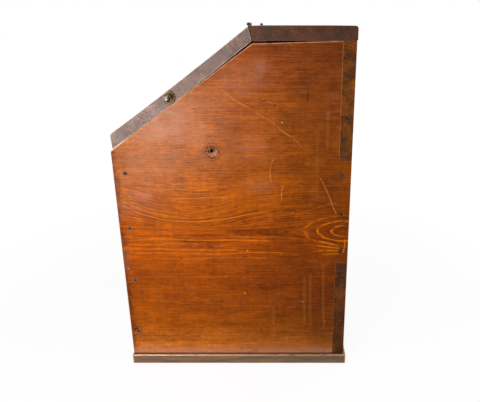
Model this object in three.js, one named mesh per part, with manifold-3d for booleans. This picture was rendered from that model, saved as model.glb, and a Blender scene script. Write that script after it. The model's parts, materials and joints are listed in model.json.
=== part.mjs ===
// Slant-lidded apothecary box. A pine carcase stands on a bottom board with rounded edges. Its flat top is
// nailed down over a rail, and a sloping lid swings on two brass butt hinges let into the joint between them.
// Millimetres, +Z up. The front faces -Y, and the origin is the middle of the bottom board's underside.
import * as THREE from "three";
import { mergeVertices } from "three/addons/utils/BufferGeometryUtils.js";
import Module from "manifold-3d";

const wasm = await Module();
wasm.setup();

// Carcase
const bodyWidth = 480;
const bodyDepth = 380;
const bodyForward = 1; // how far the carcase stands forward of the bottom board's middle
const sideThickness = 20;
const frontThickness = 22;
const backThickness = 20;
const backRise = 540.5; // height of the carcase above the bottom board, at the back
const frontRise = 375; // the same, at the front
const topEdgeFall = THREE.MathUtils.degToRad(1.6); // a side's top edge falls this much towards the front
const tabFootRise = 181.5; // the tab of each side that is let into the back panel
const tabHeadRise = 358.5;

// Old screw hole in each side, where a lid hook was once held
const hookHoleRadius = 3.2;
const hookHoleDepth = 14;
const hookHoleSetback = 158.7;
const hookHoleRise = 375.6;
const hookDentRadius = 9.5;
const hookDentDepth = 0.4;

// Bottom board
const baseThickness = 20;
const baseSideReach = 6.5; // how far it stands out past the sides
const baseEndReach = 3; // the same, past the front and the back, on average
const baseTopRounding = 4;
const baseFootRounding = 5;
const baseCornerRounding = 4;

// Flat top
const topThickness = 21;
const topSideReach = 1;
const topBackReach = 1;
const topBackRounding = 5;
const topUnderRounding = 2;
const topFrontRounding = 1;

// Rail under the flat top's front edge, with its ends let into the sides
const railThickness = 20;
const railDepth = 22;
const railSetback = 1; // behind the flat top's lower front edge
const railHousing = 8; // how far each end is let into its side

// Lid, a wide board that has cupped, so that its middle rests on the sides and its two ends stand clear
const lidThickness = 19.5;
const lidSideInset = 1;
const lidNoseInset = 3.5; // from the front of the box to the lid's lower corner
const lidNoseLean = THREE.MathUtils.degToRad(3.5);
const lidNoseRounding = 3;
const lidNoseGap = 1; // between the slope of the sides and the lid's lower corner
const lidHeadGap = 2.9; // the same, under the hinge axis
const lidSeatGap = 0.3; // the same, where the lid rests
const axisOverLid = 2.2; // the hinge axis above the lid's upper face

// Joint between the flat top and the lid, which leans back towards its foot
const axisSetback = 220.8; // from the front of the box to the hinge axis
const axisOverTop = 2.1;
const jointLean = THREE.MathUtils.degToRad(12);
const jointGap = 1.5;

// Butt hinges, one at each end of the joint
const hingeLength = 50;
const hingeInset = 1; // from the lid's end to the hinge
const barrelRadius = 2.35;
const pinRadius = 1.1;
const pinClearance = 0.1;
const leafThickness = 1.1;
const leafGap = 0.3;
const leafDepth = 11; // from the hinge axis down to the leaf's edge
const knuckleGap = 0.3;
const knuckleCount = 5;
const barrelClearance = 0.4;
const pocketClearance = 0.2;

// Hinge screws
const screwRadius = 1.1;
const screwHeadRadius = 2.1;
const screwLength = 7.5;
const screwPointLength = 2.5;
const screwSlotWidth = 0.7;
const screwSlotDepth = 0.5;
const screwDepthNear = 7.1; // down the leaf from the axis, for the outer screws
const screwDepthFar = 8.4; // the same, for the middle screw
const screwShares = [-0.33, 0, 0.33]; // along the leaf, as shares of the hinge's length
const screwClearance = 0.1;

// Lid knobs, each a ball on a stem over a round rose, screwed into the lid's edge
const knobReach = 124; // up the lid from its lower corner
const roseRadius = 9.5;
const roseRimRadius = 7.8; // where its raised rim is highest
const roseRimHeight = 2.6;
const roseDishRadius = 5.6; // the flat bottom of its dish
const roseThickness = 1.3;
const knobBallRadius = 5;
const knobBallReach = 14; // from the lid's edge to the ball's centre
const knobStemRadius = 2.3;
const knobFootRadius = 3.6;
const knobFootThickness = 1.4;
const knobShankRadius = 1.8;
const knobShankLength = 18;
const knobClearance = 0.2;

// Nails
const nailHeadRadius = 3;
const nailHeadThickness = 1.2;
const nailHeadSink = 0.3;
const nailLength = 45;
const nailShankWidth = 2.8;
const nailTipWidth = 1.2;
const nailClearance = 0.15;
// Each nail's height, as a share of the side's rise at the front, and its setback, of the front panel's thickness
const frontNailShares = [
  [0.122, 0.53],
  [0.393, 0.75],
  [0.65, 0.75],
  [0.904, 0.88],
];
// Each nail's height, as a share of the tab's, and its distance from the back, of the back panel's thickness
const tabNailShares = [
  [0.116, 0.64],
  [0.493, 0.65],
  [0.869, 0.75],
];
const topNailShares = [-1 / 3, 0, 1 / 3]; // of the box's width
const topSideNailInset = 50; // from the back of the box
const baseSideNailShares = [-0.39, 0, 0.39]; // of the box's depth
const baseEndNailShares = [-0.23, 0.23]; // of the box's width

// One overrun for every cut, so that no cutter ends flush with the face it opens
const overrun = 3;
const roundSides = 20;
const smallRoundSides = 12;
const squareSides = 4;
const ballSteps = 8;
const curveSteps = 4;

// Places worked out from the sizes
const frontY = -bodyDepth / 2 - bodyForward;
const backY = bodyDepth / 2 - bodyForward;
const sideX = bodyWidth / 2;
const innerX = sideX - sideThickness;
const floorZ = baseThickness;
const carcaseZ = floorZ + backRise;
const topZ = carcaseZ + topThickness;
const lidHalfWidth = sideX - lidSideInset;
const axis = new THREE.Vector2(frontY + axisSetback, topZ + axisOverTop);
const frontCorner = new THREE.Vector2(frontY, floorZ + frontRise);
const backCorner = new THREE.Vector2(backY - backThickness, carcaseZ);

const materials = {
  pine: new THREE.MeshStandardMaterial({ color: 0xb4602a, roughness: 0.45, metalness: 0 }),
  darkPine: new THREE.MeshStandardMaterial({ color: 0x6b4a3c, roughness: 0.6, metalness: 0 }),
  brass: new THREE.MeshStandardMaterial({ color: 0x8d7442, roughness: 0.35, metalness: 1 }),
  iron: new THREE.MeshStandardMaterial({ color: 0x3c3632, roughness: 0.7, metalness: 0.8 }),
};

// Geometry and solids

function solidOf(geometry) {
  const bare = geometry.clone();
  bare.deleteAttribute("normal");
  bare.deleteAttribute("uv");
  const merged = mergeVertices(bare);
  const vertProperties = merged.attributes.position.array;
  return new wasm.Manifold(new wasm.Mesh({ numProp: 3, vertProperties, triVerts: new Uint32Array(merged.index.array) }));
}

function geometryOf(solid) {
  const { numProp, numVert, vertProperties, triVerts } = solid.getMesh();
  const positions = new Float32Array(numVert * 3);
  for (let i = 0; i < numVert; i++) {
    positions.set(vertProperties.subarray(i * numProp, i * numProp + 3), i * 3);
  }
  const geometry = new THREE.BufferGeometry();
  geometry.setAttribute("position", new THREE.BufferAttribute(positions, 3));
  geometry.setIndex(new THREE.BufferAttribute(triVerts, 1));
  const faceted = geometry.toNonIndexed();
  faceted.computeVertexNormals();
  return faceted;
}

function joined(...solids) {
  return solids.reduce((whole, next) => whole.add(next));
}

// A closed outline, anticlockwise. Each corner is [x, y, rounding, bulge]: its own radius, and how far the edge
// that leaves it bows outwards. Both are zero unless they are given.
function outline(corners) {
  const shape = new THREE.Shape();
  const count = corners.length;
  const point = (i) => new THREE.Vector2(...corners[i % count].slice(0, 2));
  const towards = (i, j) => point(j).sub(point(i)).setLength(corners[i % count][2] ?? 0).add(point(i));
  const first = towards(0, 1);
  shape.moveTo(first.x, first.y);
  for (let i = 1; i <= count; i++) {
    const from = towards(i - 1, i);
    const to = towards(i, i - 1);
    const bulge = corners[i - 1][3] ?? 0;
    const along = to.clone().sub(from);
    const outward = new THREE.Vector2(along.y, -along.x).setLength(2 * bulge);
    const middle = from.clone().add(to).divideScalar(2).add(outward);
    if (bulge === 0) {
      shape.lineTo(to.x, to.y);
    } else {
      shape.quadraticCurveTo(middle.x, middle.y, to.x, to.y);
    }
    if (corners[i % count][2] > 0) {
      const corner = point(i);
      const end = towards(i, i + 1);
      shape.quadraticCurveTo(corner.x, corner.y, end.x, end.y);
    }
  }
  return shape;
}

function extruded(shape, depth) {
  return new THREE.ExtrudeGeometry(shape, { depth, bevelEnabled: false, curveSegments: curveSteps });
}

// A Y-Z outline carried along X from one place to another.
function alongX(shape, from, to) {
  const turn = new THREE.Matrix4().makeBasis(
    new THREE.Vector3(0, 1, 0),
    new THREE.Vector3(0, 0, 1),
    new THREE.Vector3(1, 0, 0),
  );
  return extruded(shape, to - from).applyMatrix4(turn).translate(from, 0, 0);
}

// An X-Z outline carried along Y from one place to another.
function alongY(shape, from, to) {
  return extruded(shape, to - from).rotateX(Math.PI / 2).translate(0, to, 0);
}

// An X-Y outline carried along Z from one place to another.
function alongZ(shape, from, to) {
  return extruded(shape, to - from).translate(0, 0, from);
}

function box(low, high) {
  const size = new THREE.Vector3(...high).sub(new THREE.Vector3(...low));
  const middle = new THREE.Vector3(...high).add(new THREE.Vector3(...low)).divideScalar(2);
  return new THREE.BoxGeometry(size.x, size.y, size.z).translate(middle.x, middle.y, middle.z);
}

function cylinderAlongX(radius, from, to) {
  const middle = (from + to) / 2;
  return new THREE.CylinderGeometry(radius, radius, to - from, roundSides).rotateZ(Math.PI / 2).translate(middle, 0, 0);
}

// A turned piece from a profile of [radius, height] points that starts and ends on the axis, standing along +Z.
function turned(profile, sides) {
  const points = profile.map(([radius, height]) => new THREE.Vector2(radius, height));
  return new THREE.LatheGeometry(points, sides).rotateX(Math.PI / 2);
}

function direction(angle) {
  return new THREE.Vector2(Math.cos(angle), Math.sin(angle));
}

// Where the line through p along u meets the line through q along v.
function crossing(p, u, q, v) {
  const gap = q.clone().sub(p);
  return p.clone().addScaledVector(u, gap.cross(v) / u.cross(v));
}

// The box as a scene, with a group that carries all that swings with the lid

const root = new THREE.Group();
const lidGroup = new THREE.Group();
root.add(lidGroup);

const boards = {};

function place(parent, position, outward) {
  const spot = new THREE.Group();
  spot.position.set(...position);
  spot.quaternion.setFromUnitVectors(new THREE.Vector3(0, 0, 1), new THREE.Vector3(...outward));
  parent.add(spot);
  spot.updateWorldMatrix(true, false);
  return spot;
}

function addMesh(parent, name, geometry, material) {
  const mesh = new THREE.Mesh(geometry, material);
  mesh.name = name;
  parent.add(mesh);
  return mesh;
}

function cutAt(spot, geometry, names) {
  const cutter = solidOf(geometry.clone().applyMatrix4(spot.matrixWorld));
  names.forEach((name) => {
    boards[name] = boards[name].subtract(cutter);
  });
}

// Boards

// The slope of the sides clears the hinge axis by all that lies between them, and ends at the shoulder, where it
// meets the sides' top edge.
const frontToAxis = axis.clone().sub(frontCorner);
const slopeDepth = axisOverLid + lidThickness + lidHeadGap;
const slopeAngle = frontToAxis.angle() - Math.asin(slopeDepth / frontToAxis.length());
const slopeUp = direction(slopeAngle);
const slopeOut = direction(slopeAngle + Math.PI / 2);
const shoulder = crossing(frontCorner, slopeUp, backCorner, direction(topEdgeFall));

function slopeZ(y) {
  return frontCorner.y + (y - frontCorner.x) * Math.tan(slopeAngle);
}

function sideShape() {
  const jointY = backY - backThickness;
  return outline([
    [frontY, floorZ],
    [jointY, floorZ],
    [jointY, floorZ + tabFootRise],
    [backY, floorZ + tabFootRise],
    [backY, floorZ + tabHeadRise],
    [jointY, floorZ + tabHeadRise],
    [jointY, carcaseZ],
    [shoulder.x, shoulder.y],
    [frontCorner.x, frontCorner.y],
  ]);
}

function backShape() {
  const right = [
    [sideX, floorZ],
    [sideX, floorZ + tabFootRise],
    [innerX, floorZ + tabFootRise],
    [innerX, floorZ + tabHeadRise],
    [sideX, floorZ + tabHeadRise],
    [sideX, carcaseZ],
  ];
  const left = right.map(([x, z]) => [-x, z]).reverse();
  return outline([...right, ...left]);
}

function frontShape() {
  const innerY = frontY + frontThickness;
  return outline([
    [frontY, floorZ],
    [innerY, floorZ],
    [innerY, slopeZ(innerY)],
    [frontY, slopeZ(frontY)],
  ]);
}

function baseSolid() {
  const x = sideX + baseSideReach;
  const y = bodyDepth / 2 + baseEndReach;
  const plan = outline([
    [-x, -y, baseCornerRounding],
    [x, -y, baseCornerRounding],
    [x, y, baseCornerRounding],
    [-x, y, baseCornerRounding],
  ]);
  const section = (half) =>
    outline([
      [-half, 0, baseFootRounding],
      [half, 0, baseFootRounding],
      [half, baseThickness, baseTopRounding],
      [-half, baseThickness, baseTopRounding],
    ]);
  const across = solidOf(alongX(section(y), -x, x));
  const along = solidOf(alongY(section(x), -y, y));
  return solidOf(alongZ(plan, 0, baseThickness)).intersect(across).intersect(along);
}

// The joint runs down from the hinge axis along `jointDown`, and `jointAcross` points to the back of the box.
const jointAcross = direction(jointLean);
const jointDown = direction(jointLean - Math.PI / 2);

const topFacePoint = axis.clone().addScaledVector(jointAcross, jointGap / 2);
const topUpper = crossing(new THREE.Vector2(0, topZ), direction(0), topFacePoint, jointDown);
const topLower = crossing(new THREE.Vector2(0, carcaseZ), direction(0), topFacePoint, jointDown);

function topShape() {
  const rear = backY + topBackReach;
  return outline([
    [topLower.x, topLower.y],
    [rear, carcaseZ, topUnderRounding],
    [rear, topZ, topBackRounding],
    [topUpper.x, topUpper.y, topFrontRounding],
  ]);
}

function railShape() {
  const y = topLower.x + railSetback;
  return outline([
    [y, carcaseZ - railDepth],
    [y + railThickness, carcaseZ - railDepth],
    [y + railThickness, carcaseZ],
    [y, carcaseZ],
  ]);
}

// The lid's pitch follows from its lower corner, which stands clear of the slope, and from the hinge axis.
const noseY = frontY + lidNoseInset;
const noseLower = new THREE.Vector2(noseY, slopeZ(noseY)).addScaledVector(slopeOut, lidNoseGap);
const noseToAxis = axis.clone().sub(noseLower);
const lidPitch = noseToAxis.angle() - Math.asin((lidThickness + axisOverLid) / noseToAxis.length());
const lidUp = direction(lidPitch);
const lidOut = direction(lidPitch + Math.PI / 2);

// The lid's head meets the joint, and the board has cupped just enough to rest on the slope between its two ends.
const lidFacePoint = axis.clone().addScaledVector(jointAcross, -jointGap / 2);
const headLower = crossing(noseLower, lidUp, lidFacePoint, jointDown);
const headGap = headLower.clone().sub(frontCorner).dot(slopeOut);
const lidCup = ((Math.sqrt(lidNoseGap - lidSeatGap) + Math.sqrt(headGap - lidSeatGap)) / 2) ** 2;
const lidLength = headLower.distanceTo(noseLower);

function cupDepth(reach) {
  const share = reach / lidLength;
  return 4 * lidCup * share * (1 - share);
}

function lidShape() {
  const upperPoint = axis.clone().addScaledVector(lidOut, -axisOverLid);
  const noseRise = direction(Math.PI / 2 + lidNoseLean);
  const headUpper = crossing(upperPoint, lidUp, lidFacePoint, jointDown);
  const noseUpper = crossing(upperPoint, lidUp, noseLower, noseRise);
  return outline([
    [noseLower.x, noseLower.y, 0, lidCup],
    [headLower.x, headLower.y],
    [headUpper.x, headUpper.y, 0, -lidCup],
    [noseUpper.x, noseUpper.y, lidNoseRounding],
  ]);
}

boards.side_panel_right = solidOf(alongX(sideShape(), innerX, sideX));
boards.side_panel_left = solidOf(alongX(sideShape(), -sideX, -innerX));
boards.back_panel = solidOf(alongY(backShape(), backY - backThickness, backY));
boards.front_panel = solidOf(alongX(frontShape(), -innerX, innerX));
boards.bottom_board = baseSolid();
boards.top_board = solidOf(alongX(topShape(), -sideX - topSideReach, sideX + topSideReach));
boards.lid_board = solidOf(alongX(lidShape(), -lidHalfWidth, lidHalfWidth));
boards.top_rail = solidOf(alongX(railShape(), -innerX - railHousing, innerX + railHousing));
boards.side_panel_right = boards.side_panel_right.subtract(boards.top_rail);
boards.side_panel_left = boards.side_panel_left.subtract(boards.top_rail);

// Old hook holes, one in each side

function hookHole(side) {
  const spot = place(root, [side * sideX, frontY + hookHoleSetback, floorZ + hookHoleRise], [side, 0, 0]);
  const hole = turned(
    [
      [0, -hookHoleDepth],
      [hookHoleRadius, -hookHoleDepth],
      [hookHoleRadius, -hookDentDepth],
      [hookDentRadius, 0],
      [hookDentRadius, overrun],
      [0, overrun],
    ],
    roundSides,
  );
  cutAt(spot, hole, [side > 0 ? "side_panel_right" : "side_panel_left"]);
  spot.removeFromParent();
}

// Nails, with their heads just under the surface that they were driven into

function nailGeometry(spare) {
  const head = new THREE.CylinderGeometry(
    nailHeadRadius + spare,
    nailHeadRadius + spare,
    nailHeadThickness + spare,
    smallRoundSides,
  ).rotateX(Math.PI / 2);
  head.translate(0, 0, -nailHeadSink - (nailHeadThickness + spare) / 2);
  const overlap = nailHeadThickness / 2;
  const shankLength = nailLength - nailHeadSink - overlap + spare;
  const cornerShare = Math.SQRT1_2; // from a square's width to the reach of its corners
  const shank = new THREE.CylinderGeometry(
    (nailShankWidth + 2 * spare) * cornerShare,
    (nailTipWidth + 2 * spare) * cornerShare,
    shankLength,
    squareSides,
  ).rotateX(Math.PI / 2);
  shank.translate(0, 0, -nailHeadSink - overlap - shankLength / 2);
  return geometryOf(joined(solidOf(head), solidOf(shank)));
}

function nailCutter() {
  const mouth = new THREE.CylinderGeometry(
    nailHeadRadius + nailClearance,
    nailHeadRadius + nailClearance,
    nailHeadSink + nailHeadThickness / 2 + overrun,
    smallRoundSides,
  ).rotateX(Math.PI / 2);
  mouth.translate(0, 0, (overrun - nailHeadSink - nailHeadThickness / 2) / 2);
  return geometryOf(joined(solidOf(nailGeometry(nailClearance)), solidOf(mouth)));
}

const nail = nailGeometry(0);
const nailHole = nailCutter();

function driveNail(name, position, outward, names) {
  const spot = place(root, position, outward);
  addMesh(spot, name, nail, materials.iron);
  cutAt(spot, nailHole, names);
}

function nailSide(side, word) {
  const panel = "side_panel_" + word;
  frontNailShares.forEach(([riseShare, setbackShare], i) => {
    const position = [side * sideX, frontY + frontThickness * setbackShare, floorZ + frontRise * riseShare];
    driveNail(`front_nail_${word}_${i + 1}`, position, [side, 0, 0], [panel, "front_panel"]);
  });
  tabNailShares.forEach(([riseShare, setbackShare], i) => {
    const rise = tabFootRise + (tabHeadRise - tabFootRise) * riseShare;
    const position = [side * sideX, backY - backThickness * setbackShare, floorZ + rise];
    driveNail(`tab_nail_${word}_${i + 1}`, position, [side, 0, 0], [panel, "back_panel"]);
  });
  const middleX = side * (sideX - sideThickness / 2);
  driveNail(`top_nail_${word}`, [middleX, backY - topSideNailInset, topZ], [0, 0, 1], ["top_board", panel]);
  baseSideNailShares.forEach((share, i) => {
    driveNail(`base_nail_${word}_${i + 1}`, [middleX, bodyDepth * share, 0], [0, 0, -1], ["bottom_board", panel]);
  });
}

function nailEnds() {
  const frontMiddleY = frontY + frontThickness / 2;
  const backMiddleY = backY - backThickness / 2;
  topNailShares.forEach((share, i) => {
    const position = [bodyWidth * share, backMiddleY, topZ];
    driveNail(`top_nail_back_${i + 1}`, position, [0, 0, 1], ["top_board", "back_panel"]);
  });
  baseEndNailShares.forEach((share, i) => {
    const x = bodyWidth * share;
    driveNail(`base_nail_front_${i + 1}`, [x, frontMiddleY, 0], [0, 0, -1], ["bottom_board", "front_panel"]);
    driveNail(`base_nail_back_${i + 1}`, [x, backMiddleY, 0], [0, 0, -1], ["bottom_board", "back_panel"]);
  });
}

// Hinges, modelled about their own axis: X along the pin, +Y to the back of the box, -Z down the joint

const leafInner = leafGap / 2;
const leafOuter = leafInner + leafThickness;
const notchDepth = barrelRadius + barrelClearance;
const segmentLength = hingeLength / knuckleCount;

function screwPlaces() {
  return screwShares.map((share) => {
    const middle = share === 0;
    return [hingeLength * share, middle ? screwDepthFar : screwDepthNear];
  });
}

// A countersunk screw along +Z, with its head flush at zero and its shank below.
function screwGeometry(spare, above) {
  const profile = [
    [0, -screwLength - spare],
    [screwRadius + spare, -screwLength + screwPointLength - spare],
    [screwRadius + spare, -leafThickness],
    [screwHeadRadius + spare, 0],
  ];
  if (above > 0) {
    profile.push([screwHeadRadius + spare, above]);
  }
  profile.push([0, above]);
  return turned(profile, smallRoundSides);
}

function slottedScrew() {
  const slot = box(
    [-screwHeadRadius - overrun, -screwSlotWidth / 2, -screwSlotDepth],
    [screwHeadRadius + overrun, screwSlotWidth / 2, overrun],
  );
  return geometryOf(solidOf(screwGeometry(0, 0)).subtract(solidOf(slot)));
}

// One leaf. `back` is 1 for the leaf on the flat top and -1 for the lid's, and it owns every other knuckle.
function leafSolid(back, ownsFirst) {
  const plateY = [back * leafInner, back * leafOuter].sort((a, b) => a - b);
  let leaf = solidOf(box([-hingeLength / 2, plateY[0], -leafDepth], [hingeLength / 2, plateY[1], -notchDepth]));
  for (let i = ownsFirst ? 0 : 1; i < knuckleCount; i += 2) {
    const from = -hingeLength / 2 + i * segmentLength + (i > 0 ? knuckleGap / 2 : 0);
    const to = -hingeLength / 2 + (i + 1) * segmentLength - (i < knuckleCount - 1 ? knuckleGap / 2 : 0);
    const neck = box([from, plateY[0], -notchDepth - leafThickness], [to, plateY[1], 0]);
    leaf = joined(leaf, solidOf(neck), solidOf(cylinderAlongX(barrelRadius, from, to)));
  }
  const reach = hingeLength / 2 + overrun;
  leaf = leaf.subtract(solidOf(cylinderAlongX(pinRadius + pinClearance, -reach, reach)));
  screwPlaces().forEach(([x, down]) => {
    const hole = screwGeometry(screwClearance, overrun).rotateX((back * Math.PI) / 2);
    leaf = leaf.subtract(solidOf(hole.translate(x, back * leafInner, -down)));
  });
  return leaf;
}

// The recess for a leaf and its barrel, which runs out through the board's end on the given side.
function pocketGeometry(back, side) {
  const inner = hingeLength / 2 + pocketClearance;
  const outer = hingeLength / 2 + hingeInset + lidSideInset + topSideReach + overrun;
  const x = [-side * inner, side * outer].sort((a, b) => a - b);
  const y = [back * (leafOuter + pocketClearance), -back * overrun].sort((a, b) => a - b);
  const pocket = solidOf(box([x[0], y[0], -leafDepth - pocketClearance], [x[1], y[1], overrun]));
  return geometryOf(pocket.add(solidOf(cylinderAlongX(notchDepth, x[0], x[1]))));
}

function addHinge(side, word) {
  const centreX = side * (lidHalfWidth - hingeInset - hingeLength / 2);
  const fixed = new THREE.Group();
  fixed.position.set(centreX, axis.x, axis.y);
  fixed.rotation.x = jointLean;
  const swinging = fixed.clone();
  root.add(fixed);
  lidGroup.add(swinging);
  [fixed, swinging].forEach((group) => group.updateWorldMatrix(true, false));

  addMesh(fixed, `hinge_top_leaf_${word}`, geometryOf(leafSolid(1, true)), materials.brass);
  addMesh(swinging, `hinge_lid_leaf_${word}`, geometryOf(leafSolid(-1, false)), materials.brass);
  addMesh(fixed, `hinge_pin_${word}`, cylinderAlongX(pinRadius, -hingeLength / 2, hingeLength / 2), materials.brass);
  cutAt(fixed, pocketGeometry(1, side), ["top_board"]);
  cutAt(swinging, pocketGeometry(-1, side), ["lid_board"]);

  const leaves = [
    { group: fixed, back: 1, board: "top_board", label: "top_screw" },
    { group: swinging, back: -1, board: "lid_board", label: "lid_screw" },
  ];
  leaves.forEach(({ group, back, board, label }) => {
    screwPlaces().forEach(([x, down], i) => {
      const spot = place(group, [x, back * leafInner, -down], [0, -back, 0]);
      addMesh(spot, `hinge_${label}_${word}_${i + 1}`, slottedScrew(), materials.brass);
      cutAt(spot, screwGeometry(screwClearance, overrun), [board]);
    });
  });
}

// Knobs on the lid's two edges

function roseGeometry() {
  const bore = knobShankRadius + knobClearance;
  const ring = [
    [bore, 0],
    [roseRadius, 0],
    [roseRadius, roseThickness],
    [roseRimRadius, roseRimHeight],
    [roseDishRadius, roseThickness],
    [bore, roseThickness],
    [bore, 0],
  ];
  return turned(ring, roundSides);
}

function knobGeometry() {
  const footZ = roseThickness + knobClearance;
  const neckAngle = Math.acos(knobStemRadius / knobBallRadius);
  const profile = [
    [0, -knobShankLength],
    [knobShankRadius, -knobShankLength + 2 * knobShankRadius],
    [knobShankRadius, footZ],
    [knobFootRadius, footZ],
    [knobFootRadius, footZ + knobFootThickness],
    [knobStemRadius, footZ + 2 * knobFootThickness],
  ];
  for (let i = 0; i <= ballSteps; i++) {
    const angle = -neckAngle + ((Math.PI / 2 + neckAngle) * i) / ballSteps;
    const radius = i === ballSteps ? 0 : knobBallRadius * Math.cos(angle);
    profile.push([radius, knobBallReach + knobBallRadius * Math.sin(angle)]);
  }
  return turned(profile, roundSides);
}

function knobHole() {
  const radius = knobShankRadius + knobClearance;
  const depth = knobShankLength + knobClearance;
  return turned(
    [
      [0, -depth],
      [radius, -depth + 2 * knobShankRadius],
      [radius, overrun],
      [0, overrun],
    ],
    smallRoundSides,
  );
}

function addKnob(side, word) {
  const centre = noseLower.clone().addScaledVector(lidUp, knobReach);
  centre.addScaledVector(lidOut, lidThickness / 2 - cupDepth(knobReach));
  const spot = place(lidGroup, [side * (lidHalfWidth + knobClearance), centre.x, centre.y], [side, 0, 0]);
  addMesh(spot, `knob_rose_${word}`, roseGeometry(), materials.brass);
  addMesh(spot, `knob_${word}`, knobGeometry(), materials.brass);
  cutAt(spot, knobHole(), ["lid_board"]);
}

[
  [1, "right"],
  [-1, "left"],
].forEach(([side, word]) => {
  hookHole(side);
  nailSide(side, word);
  addHinge(side, word);
  addKnob(side, word);
});
nailEnds();

const darkBoards = ["bottom_board", "top_board", "lid_board"];
Object.entries(boards).forEach(([name, solid]) => {
  const parent = name === "lid_board" ? lidGroup : root;
  addMesh(parent, name, geometryOf(solid), darkBoards.includes(name) ? materials.darkPine : materials.pine);
});

export default root;
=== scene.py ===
# The looks of an old pine box with a sloping lid: amber varnish on the boards, bare wood at the worn
# arrises and inside, tarnished brass, and a plain pale studio. Metres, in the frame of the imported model.
import json
import math
from dataclasses import dataclass
from typing import Callable

import bmesh
import bpy
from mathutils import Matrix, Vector

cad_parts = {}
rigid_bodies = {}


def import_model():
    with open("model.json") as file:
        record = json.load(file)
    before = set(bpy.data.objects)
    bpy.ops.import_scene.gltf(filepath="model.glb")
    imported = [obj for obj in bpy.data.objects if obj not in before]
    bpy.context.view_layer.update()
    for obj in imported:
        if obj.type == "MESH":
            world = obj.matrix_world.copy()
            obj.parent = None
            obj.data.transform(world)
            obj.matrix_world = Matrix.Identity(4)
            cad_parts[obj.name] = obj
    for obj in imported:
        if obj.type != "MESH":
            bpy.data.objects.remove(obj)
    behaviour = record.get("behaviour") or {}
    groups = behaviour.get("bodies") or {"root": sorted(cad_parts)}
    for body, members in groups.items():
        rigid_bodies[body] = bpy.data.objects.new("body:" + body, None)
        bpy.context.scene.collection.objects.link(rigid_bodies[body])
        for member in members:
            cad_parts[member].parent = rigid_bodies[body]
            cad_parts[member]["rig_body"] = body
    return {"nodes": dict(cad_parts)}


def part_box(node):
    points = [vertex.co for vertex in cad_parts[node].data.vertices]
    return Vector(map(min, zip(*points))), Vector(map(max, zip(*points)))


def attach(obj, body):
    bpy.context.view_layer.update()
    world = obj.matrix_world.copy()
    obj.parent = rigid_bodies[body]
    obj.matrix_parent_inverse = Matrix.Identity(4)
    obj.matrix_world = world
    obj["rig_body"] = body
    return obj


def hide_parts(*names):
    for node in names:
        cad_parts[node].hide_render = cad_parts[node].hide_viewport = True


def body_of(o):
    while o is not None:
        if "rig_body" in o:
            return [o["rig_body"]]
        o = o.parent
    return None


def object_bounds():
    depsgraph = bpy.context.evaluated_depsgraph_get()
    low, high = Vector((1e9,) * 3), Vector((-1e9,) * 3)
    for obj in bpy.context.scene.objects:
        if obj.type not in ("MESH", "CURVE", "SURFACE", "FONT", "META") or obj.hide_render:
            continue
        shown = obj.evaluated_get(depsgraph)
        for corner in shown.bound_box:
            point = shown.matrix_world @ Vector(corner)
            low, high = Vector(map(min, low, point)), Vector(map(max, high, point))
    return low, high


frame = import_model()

for start_up in [thing for thing in bpy.data.objects if body_of(thing) is None and thing.type != "EMPTY"]:
    bpy.data.objects.remove(start_up)
cad_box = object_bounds()
cad_nodes = frame["nodes"]

X, Y, Z = Vector((1, 0, 0)), Vector((0, 1, 0)), Vector((0, 0, 1))

# The photograph's camera, which looks along -X and a little down
PHOTO_WIDTH = 480
CAMERA_PLACE = Vector((1.0091, 0.0824, 0.583))
CAMERA_TIP = math.radians(19.392)
FOCAL_PX = 501.42
CENTRE_PX = (284.5, 201)
SENSOR_WIDTH = 36

# Studio
KEY_MIRROR_PX = (150, 118)  # where the right side mirrors the middle of the key
KEY_X = 1.2
KEY_SIZE = (0.3, 0.46)
KEY_POWER = 7
FILL_PLACE = Vector((0.9, -1.0, 1.7))
FILL_SIZE = (1.0, 1.0)
FILL_POWER = 5
BACK_PLACE = Vector((-1.1, 1.3, 1.3))
BACK_SIZE = (1.2, 1.2)
BACK_POWER = 10
ROOM_LIGHT = 0.24
BACKDROP = 1.0
FLOOR_SIZE = 12
FLOOR_TONE = 0.8
FLOOR_GLOW_NEAR = 0.92
FLOOR_GLOW_REACH = (0.45, 1.4)
FLOOR_SHADE = 0.14

# Arrises
BOARD_BEVEL = 0.0013
METAL_BEVEL = 0.0003
BEVEL_STEPS = 3
WELD_REACH = 0.00001
SHARP_ANGLE = math.radians(35)
WEAR_REACH = 0.0021
ARRIS_SAMPLES = 8
ARRIS_TURN = (0.997, 0.88)  # how much the smoothed and the true normal agree, off an arris and on it
EDGE_TURN = (0.98, 0.88)  # the same for the normal and the closest of the board's directions
END_TURN = (0.6, 0.9)  # the same for the normal and the grain, on a face and on an end

# Noises in the wood: their size along and across the grain in metres, and a shift that sets each apart
SLOW_BEND = (0.28, 0.08, 0)
FAST_BEND = (0.045, 0.018, 7)
RING_PATCHES = (0.08, 0.02, 3)
FIBRES = (0.018, 0.0013, 11)
STREAKS = (0.15, 0.008, 17)
CLOUDINESS = (0.06, 0.04, 23)
SPECKS = (0.0022, 0.0016, 31)
BLOTCHES = (0.02, 0.02, 37)
RUB_PATCHES = (0.02, 0.006, 41)
SAW_WOBBLE = (1, 0.015, 43)
STAIN_PATCHES = (0.026, 0.026, 44)
SAW_BREAKS = (1, 0.005, 47)
PORES = (0.008, 0.0012, 51)
TONE_WOBBLE = (0.1, 0.05, 61)
TONE_PATCHES = (0.05, 0.022, 63)
TONE_BLOTS = (0.007, 0.006, 65)
FRONT_EDGE_RAG = (0.012, 0.012, 67)
SMUDGE_PATCHES = (0.03, 0.012, 71)
SCRATCH_BREAKS = (0.005, 0.004, 81)
LINE_BREAKS = (0.012, 0.002, 83)
HOOK_RAG = (0.005, 0.005, 91)
HOOK_BREAKS = (0.004, 0.003, 95)
ARC_WOBBLE = (0.03, 0.01, 101)
ARC_BREAKS = (0.012, 0.008, 105)
NOISE_RANGE = (0.3, 0.7)  # where most of a noise lies

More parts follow.
